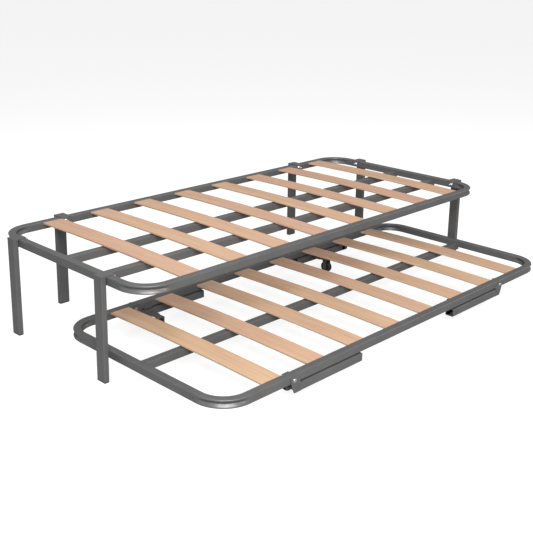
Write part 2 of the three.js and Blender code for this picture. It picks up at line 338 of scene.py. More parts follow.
# ---------------------------------------------------------- modelling by hand, in code
def pick(kind, test=lambda element: True):
    """In edit mode, selects just the EDGE or FACE elements that pass the test."""
    bpy.ops.mesh.select_mode(type=kind)
    bpy.ops.mesh.select_all(action="DESELECT")
    mesh = bpy.context.object.data
    bm = bmesh.from_edit_mesh(mesh)
    for element in bm.edges if kind == "EDGE" else bm.faces:
        if test(element):
            element.select_set(True)
    bm.select_flush_mode()
    bmesh.update_edit_mesh(mesh)


def middle(element):
    """The mean place of an edge's or a face's corners."""
    points = [v.co for v in element.verts]
    return sum(points, Vector()) / len(points)


def runs_along(axis):
    """A test for edges that lie along X, Y or Z."""

    def test(edge):
        way = edge.verts[1].co - edge.verts[0].co
        return way.length > 0 and abs(way.normalized()[axis]) > 0.99

    return test


def begin(name):
    """Names the primitive just added, puts its place in its mesh and opens it."""
    piece = bpy.context.object
    piece.name = piece.data.name = name
    bpy.ops.object.transform_apply(location=True, rotation=True, scale=True)
    bpy.ops.object.mode_set(mode="EDIT")
    return piece


def add_box(low, high):
    """Adds the box between two corners."""
    low, high = Vector(low), Vector(high)
    bpy.ops.mesh.primitive_cube_add(
        size=1, location=(low + high) / 2, scale=high - low
    )


def block(name, low, high):
    """Starts a piece as a box between two corners, open in edit mode."""
    bpy.ops.object.select_all(action="DESELECT")
    add_box(low, high)
    return begin(name)


def more_block(low, high):
    """Adds a box to the piece that is open, and leaves only the box selected."""
    bpy.ops.mesh.select_all(action="DESELECT")
    add_box(low, high)


def turned_to(axis):
    """The rotation that lays a cylinder along X, Y or Z."""
    return {"x": (0, QUARTER, 0), "y": (QUARTER, 0, 0), "z": (0, 0, 0)}[axis]


def rod(name, axis, radius, low, high, centre, sides=32):
    """Starts a round piece along an axis, or adds it to the open one if unnamed."""
    spot = Vector(centre)
    spot["xyz".index(axis)] = (low + high) / 2
    if name:
        bpy.ops.object.select_all(action="DESELECT")
    else:
        bpy.ops.mesh.select_all(action="DESELECT")
    bpy.ops.mesh.primitive_cylinder_add(
        vertices=sides,
        radius=radius,
        depth=high - low,
        location=spot,
        rotation=turned_to(axis),
    )
    return begin(name) if name else None


def soften(width, segments=2):
    """Bevels the selected edges."""
    bpy.ops.mesh.bevel(
        offset=width, segments=segments, affect="EDGES", clamp_overlap=True
    )


def close():
    """Goes back to object mode."""
    bpy.ops.object.mode_set(mode="OBJECT")


def only(piece):
    """Selects a piece and nothing else."""
    bpy.ops.object.select_all(action="DESELECT")
    piece.select_set(True)
    bpy.context.view_layer.objects.active = piece


def hardened(piece, name, kind, **settings):
    """Adds a modifier with its settings and applies it at once."""
    only(piece)
    step = piece.modifiers.new(name, kind)
    for key, value in settings.items():
        setattr(step, key, value)
    bpy.ops.object.modifier_apply(modifier=step.name)


def join(piece, other):
    """Makes another object part of a piece."""
    only(piece)
    other.select_set(True)
    bpy.ops.object.join()


def cut(piece, cutter):
    """Cuts one closed piece out of another and removes the cutter."""
    hardened(
        piece, "cut", "BOOLEAN", operation="DIFFERENCE", solver="EXACT", object=cutter
    )
    bpy.data.objects.remove(cutter)


def twin(piece, name, place):
    """A copy of a piece, with its own mesh, put in its place."""
    other = piece.copy()
    other.data = piece.data.copy()
    other.name = other.data.name = name
    bpy.context.scene.collection.objects.link(other)
    other.data.transform(place)
    if place.determinant() < 0:
        other.data.flip_normals()
    return other


def mark_rounded_edges(piece):
    """Gives the second finish, the painted edge highlight, to the faces that aren't
    square to any axis.
    """
    for face in piece.data.polygons:
        square = max(abs(c) for c in face.normal) >= SQUARE
        face.material_index = 0 if square else 1


def finished(piece, body, slot, finishes, *nodes):
    """Smooths a piece, gives it its finish, says what it rides on and hides the CAD
    parts that it stands for.
    """
    only(piece)
    bpy.ops.object.shade_smooth_by_angle(angle=SMOOTH_UNDER)
    hardened(piece, "even", "WEIGHTED_NORMAL", keep_sharp=True)
    piece.data.materials.clear()
    for name in finishes:
        piece.data.materials.append(finish_named(name))
    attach(piece, body)
    if nodes:
        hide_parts(*nodes)
    return piece


# ---------------------------------------------------------- frames, bars and slats
def crease_bends(piece, low, high, sizes):
    """Folds both walls of each bend into the tube at mid-height, as a press does."""
    bend, rail = sizes.bend, sizes.rail
    reach, sharpness = 0.36 * rail, 1.2  # how far the fold spreads up and down
    run_out = 0.16  # the share of a bend over which the fold fades, at each end
    inner_share = 0.8  # how deep the inner wall's fold is beside the outer one's
    mid = high.z - rail / 2
    for v in piece.data.vertices:
        side = Vector(
            (
                min(0, v.co.x - low.x - bend) + max(0, v.co.x - high.x + bend),
                min(0, v.co.y - low.y - bend) + max(0, v.co.y - high.y + bend),
                0,
            )
        )
        if abs(side.x) < MM / 10 or abs(side.y) < MM / 10:
            continue
        share = math.atan2(abs(side.y), abs(side.x)) / QUARTER
        fade = min(1, min(share, 1 - share) / run_out)
        fade = fade * fade * (3 - 2 * fade)
        fold = max(0, 1 - abs(v.co.z - mid) / reach) ** sharpness * fade
        radius = side.length
        if radius > bend - MM:
            v.co -= side.normalized() * fold * sizes.crease
        elif radius < bend - rail + MM:
            v.co += side.normalized() * fold * sizes.crease * inner_share


def mark_rail_finishes(piece, mid, sizes):
    """Gives the rail's rounded edges a painted highlight and the folds of its bends a
    painted shade, each as its own finish.
    """
    for face in piece.data.polygons:
        off = abs(face.center.z - mid)
        turned = min(abs(face.normal.x), abs(face.normal.y)) > 0.08
        in_fold = off < 0.1 * sizes.rail and abs(face.normal.z) < 0.9
        on_edge = off > sizes.rail / 2 - sizes.rail_edge
        # Rounded edges take the painted highlight and folds take the painted shade.
        if on_edge and abs(face.normal.z) < SQUARE:
            finish = EDGE_HIGHLIGHT
        elif turned and in_fold:
            finish = CREASE
        else:
            finish = PAINT
        face.material_index = RAIL_FINISHES.index(finish)


def bent_rail(name, cad_node, sizes):
    """A square tube bent round the four corners of a bed, as one closed ring."""
    low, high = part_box(cad_node)
    bend, half = sizes.bend, sizes.rail / 2
    rows = 9  # faces up each wall, which let the wall fold in the bends
    bpy.ops.object.select_all(action="DESELECT")
    bpy.ops.mesh.primitive_plane_add(
        size=sizes.rail,
        rotation=(0, QUARTER, 0),
        location=(low.x + bend, low.y + half, high.z - half),
    )
    piece = begin(name)
    bpy.ops.mesh.bevel(offset=sizes.rail_edge, segments=3, affect="VERTICES")
    bpy.ops.mesh.select_all(action="SELECT")
    bpy.ops.mesh.delete(type="ONLY_FACE")
    pick("EDGE", lambda e: runs_along(2)(e) and e.calc_length() > half)
    bpy.ops.mesh.subdivide(number_cuts=rows - 1)
    pick("EDGE")
    long_run = high.x - low.x - 2 * bend
    short_run = high.y - low.y - 2 * bend
    for way, corner in (
        (X * long_run, (high.x - bend, low.y + bend, 0)),
        (Y * short_run, (high.x - bend, high.y - bend, 0)),
        (-X * long_run, (low.x + bend, high.y - bend, 0)),
        (-Y * short_run, (low.x + bend, low.y + bend, 0)),
    ):
        bpy.ops.mesh.extrude_region_move(TRANSFORM_OT_translate={"value": way})
        bpy.ops.mesh.spin(
            steps=sizes.bend_steps, angle=-QUARTER, center=corner, axis=(0, 0, 1)
        )
    bpy.ops.mesh.select_all(action="SELECT")
    bpy.ops.mesh.remove_doubles(threshold=MM / 20)
    bpy.ops.mesh.normals_make_consistent(inside=False)
    close()
    crease_bends(piece, low, high, sizes)
    mark_rail_finishes(piece, high.z - half, sizes)
    return piece


def rail_cutter(cad_node, slats, sizes):
    """The slots for the ends of every slat, and two assembly holes in each end rail."""
    low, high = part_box(cad_node)
    spare, slot_reach = 0.8 * MM, 6 * MM
    hole_radius, hole_reach = 2.8 * MM, 5 * MM
    past_bend = sizes.bend + 12 * MM
    slots = []
    for slat in slats:
        a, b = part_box(slat)
        top = a.z + sizes.slat_thick + spare
        for wall in (low.y + sizes.rail, high.y - sizes.rail):
            start = (a.x - spare, wall - slot_reach, a.z - spare)
            slots.append((start, (b.x + spare, wall + slot_reach, top)))
    block("rail_cutter", *slots[0])
    for slot in slots[1:]:
        more_block(*slot)
    for wall in (low.x, high.x):
        for y in (low.y + past_bend, high.y - past_bend):
            at = (0, y, high.z - sizes.rail / 2)
            rod(None, "x", hole_radius, wall - hole_reach, wall + hole_reach, at, 16)
    close()
    return bpy.context.object


def straight_bar(name, low, high, sizes):
    """A square tube between the end rails, with a weld bead round each end."""
    piece = block(name, low, high)
    pick("EDGE", runs_along(0))
    soften(sizes.rail_edge, 3)
    proud, bead = 1.1 * MM, 2.5 * MM  # how far a weld stands out, and runs along
    for x, inner in ((low.x, low.x + bead), (high.x, high.x - bead)):
        more_block(
            (min(x, inner), low.y - proud, low.z - proud),
            (max(x, inner), high.y + proud, high.z + proud),
        )
        soften(proud, 2)
    close()
    mark_rounded_edges(piece)
    return piece


def bowed_slat(name, cad_node, sizes):
    """A slat with eased edges, bowed up in the middle, its sawn edges marked."""
    low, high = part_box(cad_node)
    piece = block(name, low, (high.x, high.y, low.z + sizes.slat_thick))
    pick("EDGE", runs_along(1))
    soften(sizes.slat_edge, 3)
    span = high.y - low.y
    for i in range(1, sizes.slat_steps):
        bpy.ops.mesh.select_all(action="SELECT")
        at = (0, low.y + span * i / sizes.slat_steps, 0)
        bpy.ops.mesh.bisect(plane_co=at, plane_no=Y)
    close()
    rise = high.z - low.z - sizes.slat_thick
    for v in piece.data.vertices:
        t = (v.co.y - low.y) / span
        v.co.z += 4 * t * (1 - t) * rise
    for face in piece.data.polygons:
        sawn = abs(face.normal.x) > 0.6
        face.material_index = 1 if sawn else 0
    return piece


# ---------------------------------------------------------- fixed legs
FOOT_HEIGHT = 4.3 * MM
PLATE = 3 * MM  # thickness of a clamp's plate


def side_matrix(name, rails):
    """Turns a leg's piece, drawn with x inwards from the rail's outer face and y along
    the rail, onto its place."""
    low, high = rails
    a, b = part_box("leg_" + name)
    centre = (a + b) / 2
    side = name.split("_")[0]
    if side == "left":
        return Matrix.Translation((low.x, centre.y, 0))
    if side == "right":
        return Matrix.Translation((high.x, centre.y, 0)) @ Matrix.Rotation(
            math.pi, 4, "Z"
        )
    return Matrix.Translation((centre.x, high.y, 0)) @ Matrix.Rotation(
        -QUARTER, 4, "Z"
    )


def leg_tube(s):
    """A rectangular tube with rounded corners, standing on its foot."""
    piece = block(
        "leg_pattern",
        (-s.leg_gap - s.leg_depth, -s.leg_width / 2, FOOT_HEIGHT),
        (-s.leg_gap, s.leg_width / 2, s.height),
    )
    pick("EDGE", runs_along(2))
    soften(s.leg_edge, 4)
    pick("FACE", lambda f: abs(f.normal.z) > 0.9)
    bpy.ops.mesh.inset(thickness=0.5 * MM, depth=0.3 * MM, use_individual=True)
    close()
    mark_rounded_edges(piece)
    return piece


def foot_cap(s):
    """A push-in plastic foot with a rounded rim under the tube."""
    low = Vector((-s.leg_gap - s.leg_depth, -s.leg_width / 2, 0))
    high = Vector((-s.leg_gap, s.leg_width / 2, FOOT_HEIGHT))
    piece = block("foot_pattern", low, high)
    pick("EDGE", runs_along(2))
    soften(s.leg_edge, 4)
    pick("FACE", lambda f: f.normal.z < -0.9)
    bpy.ops.mesh.inset(thickness=1.6 * MM, depth=0)
    pick(
        "EDGE",
        lambda e: all(v.co.z < MM / 10 for v in e.verts)
        and any(f.normal.z > -0.5 for f in e.link_faces),
    )
    soften(1.2 * MM, 2)
    close()
    return piece


def clamp_hook(s):
    """A plate over the leg and the rail that is bent down the rail's inner face."""
    top, side, half_tab = s.height, s.leg_width / 2, s.tab_width / 2
    bend_radius, plate_corner, tab_corner = 2.4 * MM, 3.2 * MM, 4 * MM
    inner = s.rail + 0.3 * MM
    outer = -s.leg_gap - s.leg_depth
    piece = block(
        "clamp_pattern", (outer, -side, top), (inner + PLATE, side, top + PLATE)
    )
    for at, normal in (
        ((inner, 0, 0), X),
        ((0, half_tab, 0), Y),
        ((0, -half_tab, 0), Y),
    ):
        bpy.ops.mesh.select_all(action="SELECT")
        bpy.ops.mesh.bisect(plane_co=at, plane_no=normal)
    pick(
        "FACE",
        lambda f: f.normal.z < -0.9
        and middle(f).x > inner
        and abs(middle(f).y) < half_tab,
    )
    bpy.ops.mesh.extrude_region_move(
        TRANSFORM_OT_translate={"value": (0, 0, -s.tab_drop)}
    )
    # The outer bend, the corners of the plate and the ends of the tab are rounded.
    pick(
        "EDGE",
        lambda e: runs_along(1)(e)
        and all(
            v.co.x > inner + PLATE * 0.9 and v.co.z > top + PLATE * 0.9
            for v in e.verts
        ),
    )
    soften(bend_radius, 4)
    pick(
        "EDGE",
        lambda e: runs_along(2)(e)
        and all(abs(abs(v.co.y) - side) < MM / 10 for v in e.verts)
        and e.verts[0].co.z > top - MM,
    )
    soften(plate_corner, 3)
    pick(
        "EDGE",
        lambda e: runs_along(0)(e)
        and all(v.co.z < top - s.tab_drop + MM for v in e.verts),
    )
    soften(tab_corner, 3)
    close()
    hardened(
        piece,
        "rim",
        "BEVEL",
        width=0.5 * MM,
        segments=2,
        limit_method="ANGLE",
        angle_limit=math.radians(50),
    )
    mark_rounded_edges(piece)
    return piece


def clamp_bolt(s):
    """A hexagon nut with chamfered corners on the domed end of its bolt."""
    nut, washer, shank = 7.4 * MM, 8.4 * MM, 4 * MM  # radii
    start = s.rail + PLATE + 0.6 * MM
    end = start + 16.4 * MM
    centre = (0, 0, s.height - 13.3 * MM)
    piece = rod("nut_pattern", "x", nut, start, start + 6.5 * MM, centre, 6)
    pick("EDGE", lambda e: not runs_along(0)(e))
    soften(0.9 * MM, 2)
    rod(None, "x", washer, start - 0.3 * MM, start + 1.3 * MM, centre, 28)
    rod(None, "x", shank, start, end, centre, 20)
    pick("EDGE", lambda e: all(v.co.x > end - 0.4 * MM for v in e.verts))
    soften(1.2 * MM, 3)
    close()
    return piece


def rail_spacer(s):
    """The plastic strip between a leg and the rail, with rounded corners and a lip."""
    clear, margin = 0.05 * MM, 1.5 * MM
    top = s.height - 1.2 * MM
    bottom = top - s.rail + 1.4 * MM
    piece = block(
        "spacer_pattern",
        (-s.leg_gap + clear, -s.leg_width / 2 + margin, bottom),
        (-clear, s.leg_width / 2 - margin, top),
    )
    pick("EDGE", runs_along(0))
    soften(2 * MM, 3)
    pick("FACE", lambda f: abs(f.normal.y) > 0.9 or abs(f.normal.z) > 0.9)
    bpy.ops.mesh.inset(thickness=0.4 * MM, depth=-0.4 * MM, use_individual=True)
    close()
    return piece


# ---------------------------------------------------------- folding legs and wheels
# A folding leg's tube, from its pivot: where it starts and ends, and how low it hangs.
FOLD_START, FOLD_END = 14 * MM, 351.5 * MM
FOLD_TOP, FOLD_BOTTOM = -17 * MM, -47 * MM
FOLD_PROUD = 2.7 * MM  # how far it stands out on both sides of the rail
FOLD_WALL = 1.6 * MM


def fold_matrix(corner):
    """Puts a piece drawn at its pivot, with x along the folded leg and y inwards, on
    its rail."""
    low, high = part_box("trundle_frame")
    a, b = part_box("pivot_bolt_" + corner)
    pivot = (a + b) / 2
    far, right = corner.startswith("far"), corner.endswith("right")
    face = high.y if far else low.y
    turn = Matrix.Diagonal((-1 if right else 1, -1 if far else 1, 1, 1))
    return Matrix.Translation((pivot.x, face, pivot.z)) @ turn


def folding_leg(s):
    """A folded-steel leg: a tube whose sides run on as rounded ears up to the pivot."""
    near, far = -FOLD_PROUD, s.rail + FOLD_PROUD
    top, bottom = FOLD_TOP, FOLD_BOTTOM
    ear_radius, ear_wall, ear_end = 17.5 * MM, 2 * MM, 32 * MM
    mouth_depth = 12 * MM
    piece = block(
        "folding_leg_pattern", (FOLD_START, near, bottom), (FOLD_END, far, top)
    )
    pick("EDGE", runs_along(0))
    soften(2.2 * MM, 3)
    # The free end is an open mouth with a wall of its own.
    pick("FACE", lambda f: f.normal.x > 0.9)
    bpy.ops.mesh.inset(thickness=FOLD_WALL, depth=0)
    bpy.ops.mesh.extrude_region_move(
        TRANSFORM_OT_translate={"value": (-mouth_depth, 0, 0)}
    )
    close()
    for a in (near, far - ear_wall):
        b = a + ear_wall
        # A disc round the pivot and two boxes below it, whose hull is the ear.
        ear = rod("ear", "y", ear_radius, a, b, (0, 0, 0), 48)
        more_block((-2 * MM, a, bottom + 2.2 * MM), (ear_end, b, top - 3 * MM))
        more_block((1 * MM, a, bottom), (ear_end, b, top - 3 * MM))
        bpy.ops.mesh.select_all(action="SELECT")
        bpy.ops.mesh.convex_hull()
        pick(
            "EDGE",
            lambda e: abs(e.verts[0].co.y - e.verts[1].co.y) < MM / 10
            and e.calc_face_angle(0) > 1.2,
        )
        soften(0.5 * MM, 2)
        close()
        join(piece, ear)
    hole = (37 * MM, 0, top - 1.5 * MM)
    drill = rod("drill", "y", 2.2 * MM, near - 5 * MM, near + 6 * MM, hole, 16)
    close()
    cut(piece, drill)
    return piece


def end_plug(s):
    """The plastic plug in a folding leg's free end, a dished face inside a thin rim."""
    wall, rim, dish = FOLD_WALL + 0.1 * MM, 2 * MM, 2.5 * MM
    piece = block(
        "plug_pattern",
        (FOLD_END - 11.5 * MM, wall - FOLD_PROUD, FOLD_BOTTOM + wall),
        (FOLD_END - 0.9 * MM, s.rail + FOLD_PROUD - wall, FOLD_TOP - wall),
    )
    pick("EDGE", runs_along(0))
    soften(1.2 * MM, 2)
    pick("FACE", lambda f: f.normal.x > 0.9)
    bpy.ops.mesh.inset(thickness=rim, depth=0)
    bpy.ops.mesh.inset(thickness=1 * MM, depth=-dish)
    close()
    return piece


def pivot_bolt(s):
    """A domed bolt head on a flange outside the rail, and a nut inside it."""
    flange, dome, shank, nut = 8 * MM, 6.2 * MM, 4 * MM, 7 * MM  # radii
    outer, inner = -3 * MM, s.rail + 3 * MM  # just outside the two ears
    centre = (0, 0, 0)
    crown, nut_end = outer - 3.3 * MM, inner + 5.5 * MM
    piece = rod("pivot_pattern", "y", flange, outer - 1.6 * MM, outer, centre, 36)
    pick("EDGE", lambda e: all(v.co.y < outer - 1.5 * MM for v in e.verts))
    soften(0.6 * MM, 2)
    rod(None, "y", dome, crown, outer - 1 * MM, centre, 36)
    pick("EDGE", lambda e: all(v.co.y < crown + 0.1 * MM for v in e.verts))
    soften(1.9 * MM, 4)
    rod(None, "y", shank, outer - MM, inner + 6 * MM, centre, 20)
    rod(None, "y", nut, inner, nut_end, centre, 6)
    pick(
        "EDGE",
        lambda e: all(v.co.y > nut_end - 0.5 * MM for v in e.verts)
        and all(math.hypot(v.co.x, v.co.z) > nut - MM for v in e.verts),
    )
    soften(0.8 * MM, 2)
    close()
    return piece


def castor_wheel(radius, width):
    """A moulded wheel with a rounded tread, dished sides, a raised hub and six ribs."""
    half = width / 2
    # Each side from the tread inwards, as insets with the depth that each one goes to.
    rings = (
        (2.6 * MM, 0),  # rim
        (1.2 * MM, -4 * MM),  # down into the dish
        (9.6 * MM, 0),  # floor of the dish
        (1 * MM, 4.3 * MM),  # up onto the hub
        (1.5 * MM, 0),  # face of the hub
        (0.6 * MM, -1.2 * MM),  # down into its bore
    )
    ribs, rib_centre, rib_length, rib_thick = 6, 14 * MM, 13 * MM, 2 * MM
    piece = rod("wheel_pattern", "x", radius, -half, half, (0, 0, 0), 48)
    pick("EDGE", lambda e: not runs_along(0)(e))
    soften(2.6 * MM, 4)
    for side in (-1, 1):
        pick("FACE", lambda f: f.normal.x * side > 0.9 and len(f.verts) > 20)
        for thickness, depth in rings:
            bpy.ops.mesh.inset(thickness=thickness, depth=depth)
    for i in range(ribs):
        turn = 2 * math.pi * i / ribs
        bpy.ops.mesh.select_all(action="DESELECT")
        bpy.ops.mesh.primitive_cube_add(
            size=1,
            location=(0, rib_centre * math.cos(turn), rib_centre * math.sin(turn)),
            rotation=(turn, 0, 0),
            scale=(width - 3 * MM, rib_length, rib_thick),
        )
    close()
    return piece


def wheel_bracket(name, arm, radius):
    """A plate screwed to the rail, a ledge, an arm inwards and a fork for the wheel."""
    half, plate, cheek_wall = 20 * MM, 3 * MM, 2.5 * MM
    ledge, low, top = 70.5 * MM, 56 * MM, 91 * MM  # heights over the floor
    inner = 12.5 * MM  # from the wheel's middle to the inside of a cheek
    outer = inner + cheek_wall
    half_cheek, boss = 11 * MM, 9 * MM
    screw_x, screw_z, screw_top = 13 * MM, 84.5 * MM, 6.3 * MM
    piece = block(name, (-half, 0.3 * MM, ledge), (half, 3.3 * MM, top))
    for a, b in (
        ((-half, 0.3 * MM, ledge), (half, 8 * MM, ledge + plate)),
        ((-half, 5 * MM, low), (half, 8 * MM, ledge + plate)),
        ((-half, 5 * MM, low), (half, arm - 24 * MM, low + plate)),
        ((-outer, arm - 26 * MM, low), (outer, arm + half_cheek, low + plate)),
    ):
        more_block(a, b)
    close()
    hardened(piece, "rim", "BEVEL", width=0.7 * MM, segments=2)
    hub = (0, arm, radius)
    for a, b in ((-outer, -inner), (inner, outer)):
        cheek = rod("cheek", "x", boss, a, b, hub, 32)
        more_block((a, arm - half_cheek, low - MM), (b, arm + half_cheek, low + MM))
        bpy.ops.mesh.select_all(action="SELECT")
        bpy.ops.mesh.convex_hull()
        close()
        join(piece, cheek)
    axle = rod("axle", "x", 4 * MM, -outer - 2.5 * MM, outer + 2.5 * MM, hub, 24)
    pick("EDGE", lambda e: not runs_along(0)(e))
    soften(1.2 * MM, 3)
    for x in (-screw_x, screw_x):
        rod(None, "y", 5 * MM, 2.5 * MM, screw_top, (x, 0, screw_z), 6)
        pick("EDGE", lambda e: all(6 * MM < v.co.y < 8 * MM for v in e.verts))
        soften(0.6 * MM, 2)
    close()
    join(piece, axle)
    return piece


# ---------------------------------------------------------- what a user may change
def length_property(name, description, default):
    """A length in metres that the user may change."""
    return FloatProperty(
        name=name, description=description, default=default, unit="LENGTH"
    )


class BedSizes(bpy.types.PropertyGroup):
    """The sizes of tubes, slats and rounded edges."""

    rail: length_property("Rail tube", "Side of the square rail tube", 0.03)
    rail_edge: length_property(
        "Rail edge", "Radius of the rail tube's long edges", 0.003
    )
    bend: length_property("Corner bend", "Outer radius of a frame's corners", 0.12)
    bend_steps: IntProperty(
        name="Bend steps", description="Rings in each bend", default=20, min=6, max=60
    )
    crease: length_property(
        "Crease", "Depth of the fold that bending leaves in the tube's walls", 0.009
    )
    slat_thick: length_property("Slat thickness", "Thickness of a slat", 0.008)
    slat_edge: length_property("Slat edge", "Rounding of a slat's long edges", 0.0016)
    slat_steps: IntProperty(
        name="Slat steps",
        description="Lengths that a bowed slat is divided into",
        default=16,
        min=4,
        max=64,
    )
    height: length_property(
        "Rail height", "Height of the top of the upper rail over the floor", 0.3801
    )
    leg_width: length_property("Leg width", "Wide side of a leg's tube", 0.045)
    leg_depth: length_property("Leg depth", "Narrow side of a leg's tube", 0.02)
    leg_gap: length_property("Leg gap", "Gap between a leg and the rail", 0.0025)
    leg_edge: length_property("Leg edge", "Corner radius of a leg's tube", 0.0025)
    tab_width: length_property(
        "Tab width", "Width of a clamp's tab on the rail's inner face", 0.03
    )
    tab_drop: length_property("Tab drop", "How far a clamp's tab reaches down", 0.028)


def colour_property(name, description, code):
    """A colour that the user may change, from its hex code."""
    return FloatVectorProperty(
        name=name,
        description=description,
        default=srgb(code),
        subtype="COLOR",
        size=3,
        min=0,
        max=1,
    )


class BedColours(bpy.types.PropertyGroup):
    """The colours of the finishes."""

    paint: colour_property("Paint", "Powder coat on the steel", "#565656")
    wood: colour_property("Beech", "Face of a yellower slat", "#BB9D7B")
    wood_pink: colour_property("Pink beech", "Face of a pinker slat", "#B7917A")
    wood_edge: colour_property("Beech edge", "Sawn edge of a slat", "#D8C4A8")
    zinc: colour_property("Zinc", "Bolts and nuts", "#C9CCCF")
    plastic: colour_property("Black plastic", "Feet, plugs and spacers", "#1A1A1B")
    wheel: colour_property("Wheel plastic", "Wheels", "#232325")


class StageSettings(bpy.types.PropertyGroup):
    """The floor, the lights and the camera."""

    key: FloatProperty(
        name="Front light",
        description="Power of the big soft light beside the camera",
        default=640.0,
        unit="POWER",
    )
    side: FloatProperty(
        name="Side light",
        description="Power of the soft light on the right",
        default=50.0,
        unit="POWER",
    )
    top: FloatProperty(
        name="Top light",
        description="Power of the soft light overhead",
        default=35.0,
        unit="POWER",
    )
    sky: FloatProperty(
        name="Room light", description="Strength of the room's light", default=0.3
    )
    floor: colour_property("Floor", "The pale floor", "#8C8C8C")


# ---------------------------------------------------------- one operator for each kind
class BED_OT_frames(bpy.types.Operator):
    """Bends the two frames' rails and cuts the slots for the slats"""

    bl_idname = "trundlebed.frames"
    bl_label = "Bent frames"

    def execute(self, context):
        s = context.scene.bed_sizes
        for bed, body in (("upper", "upper_bed"), ("trundle", "trundle")):
            cad_node = bed + "_frame"
            slats = [f"{bed}_slat_{i}" for i in range(1, SLAT_COUNT + 1)]
            rail = bent_rail(bed + "_rail", cad_node, s)
            cut(rail, rail_cutter(cad_node, slats, s))
            slot = "steel_paint" if bed == "upper" else "steel_paint_trundle"
            finished(rail, body, slot, RAIL_FINISHES, cad_node)
        return {"FINISHED"}


class BED_OT_bars(bpy.types.Operator):
    """Sets the long square bars between the end rails"""

    bl_idname = "trundlebed.bars"
    bl_label = "Long bars"

    def execute(self, context):
        s = context.scene.bed_sizes
        into_rail = X * 0.3 * MM
        off_middle = 4 * MM  # how much nearer the front than the middle the bar lies
        for i in (1, 2):
            low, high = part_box(f"upper_bar_{i}")
            bar = straight_bar(
                f"upper_bar_tube_{i}", low - into_rail, high + into_rail, s
            )
            finished(bar, "upper_bed", "steel_paint", [PAINT, EDGE_HIGHLIGHT], f"upper_bar_{i}")
        low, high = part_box("trundle_frame")
        centre = (low.y + high.y) / 2 - off_middle
        bar = straight_bar(
            "trundle_bar_tube",
            Vector((low.x + s.rail, centre - s.rail / 2, low.z)),
            Vector((high.x - s.rail, centre + s.rail / 2, low.z + s.rail)),
            s,
        )
        finished(bar, "trundle", "steel_paint_trundle", [PAINT, EDGE_HIGHLIGHT])
        return {"FINISHED"}


class BED_OT_slats(bpy.types.Operator):
    """Makes one bowed slat for each bed and copies it along the rails"""

    bl_idname = "trundlebed.slats"
    bl_label = "Slats"

    def execute(self, context):
        s = context.scene.bed_sizes
        for bed, body in (("upper", "upper_bed"), ("trundle", "trundle")):
            first = f"{bed}_slat_1"
            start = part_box(first)[0]
            pattern = bowed_slat(bed + "_slat_board_1", first, s)
            boards = [pattern] + [
                twin(
                    pattern,
                    f"{bed}_slat_board_{i}",
                    Matrix.Translation(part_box(f"{bed}_slat_{i}")[0] - start),
                )
                for i in range(2, SLAT_COUNT + 1)
            ]
            for i, board in enumerate(boards, 1):
                finished(board, body, "slat_wood", [BEECH, EDGE], f"{bed}_slat_{i}")
        return {"FINISHED"}


class BED_OT_legs(bpy.types.Operator):
    """Makes a leg with its foot, hook, bolt and spacer, and copies it to six places"""

    bl_idname = "trundlebed.legs"
    bl_label = "Legs"

    def execute(self, context):
        s = context.scene.bed_sizes
        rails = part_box("upper_frame")
        patterns = (
            (leg_tube(s), "leg_tube_", "leg_", "steel_paint", PAINT, EDGE_HIGHLIGHT),
            (foot_cap(s), "foot_cap_", "foot_", "black_plastic", PLASTIC),
            (clamp_hook(s), "clamp_hook_", "clamp_", "steel_paint", PAINT, EDGE_HIGHLIGHT),
            (clamp_bolt(s), "clamp_nut_", "clamp_bolt_", "zinc", ZINC),
            (rail_spacer(s), "rail_spacer_", None, "black_plastic", PLASTIC),
        )
        for pattern, name, cad_node, slot, *finishes in patterns:
            for leg in LEGS:
                piece = twin(pattern, name + leg, side_matrix(leg, rails))
                stands_for = [cad_node + leg] if cad_node else []
                finished(piece, "upper_bed", slot, finishes, *stands_for)
            bpy.data.objects.remove(pattern)
        return {"FINISHED"}


class BED_OT_folding_legs(bpy.types.Operator):
    """Makes a folding leg with its plug and bolt, and copies it to four places"""

    bl_idname = "trundlebed.folding_legs"
    bl_label = "Folding legs"

    def execute(self, context):
        s = context.scene.bed_sizes
        steel = "steel_paint_trundle"
        patterns = (
            (folding_leg(s), "fold_leg_", "folding_leg_", "fold_", steel, PAINT),
            (end_plug(s), "fold_plug_", None, "fold_", "black_plastic", PLASTIC),
            (pivot_bolt(s), "pivot_screw_", "pivot_bolt_", "", "zinc", ZINC),
        )
        for pattern, name, cad_node, body, slot, finish in patterns:
            for corner in CORNERS:
                piece = twin(pattern, name + corner, fold_matrix(corner))
                stands_for = [cad_node + corner] if cad_node else []
                rides_on = body + corner if body else "trundle"
                finished(piece, rides_on, slot, [finish], *stands_for)
            bpy.data.objects.remove(pattern)
        return {"FINISHED"}


class BED_OT_wheels(bpy.types.Operator):
    """Makes one wheel with its bracket, and copies them to the four places"""

    bl_idname = "trundlebed.wheels"
    bl_label = "Wheels"

    def execute(self, context):
        s = context.scene.bed_sizes
        low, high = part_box("wheel_near_left")
        radius, width = (high.z - low.z) / 2, high.x - low.x
        wheel = castor_wheel(radius, width)
        rail_low, rail_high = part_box("trundle_frame")
        brackets = {}
        for corner in CORNERS:
            a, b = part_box("wheel_" + corner)
            hub = (a + b) / 2
            piece = twin(wheel, "castor_" + corner, Matrix.Translation(hub))
            finished(
                piece, "roller_" + corner, "wheel_plastic", [WHEEL], "wheel_" + corner
            )
            far = corner.startswith("far")
            face = rail_high.y - s.rail if far else rail_low.y + s.rail
            if far not in brackets:
                arm = abs(hub.y - face)
                brackets[far] = wheel_bracket("bracket_pattern", arm, radius)
            place = Matrix.Translation((hub.x, face, 0)) @ Matrix.Diagonal(
                (1, -1 if far else 1, 1, 1)
            )
            piece = twin(brackets[far], "castor_bracket_" + corner, place)
            node_name = "wheel_bracket_" + corner
            finished(piece, "trundle", "steel_paint_trundle", [PAINT], node_name)
        for pattern in (wheel, *brackets.values()):
            bpy.data.objects.remove(pattern)
        return {"FINISHED"}


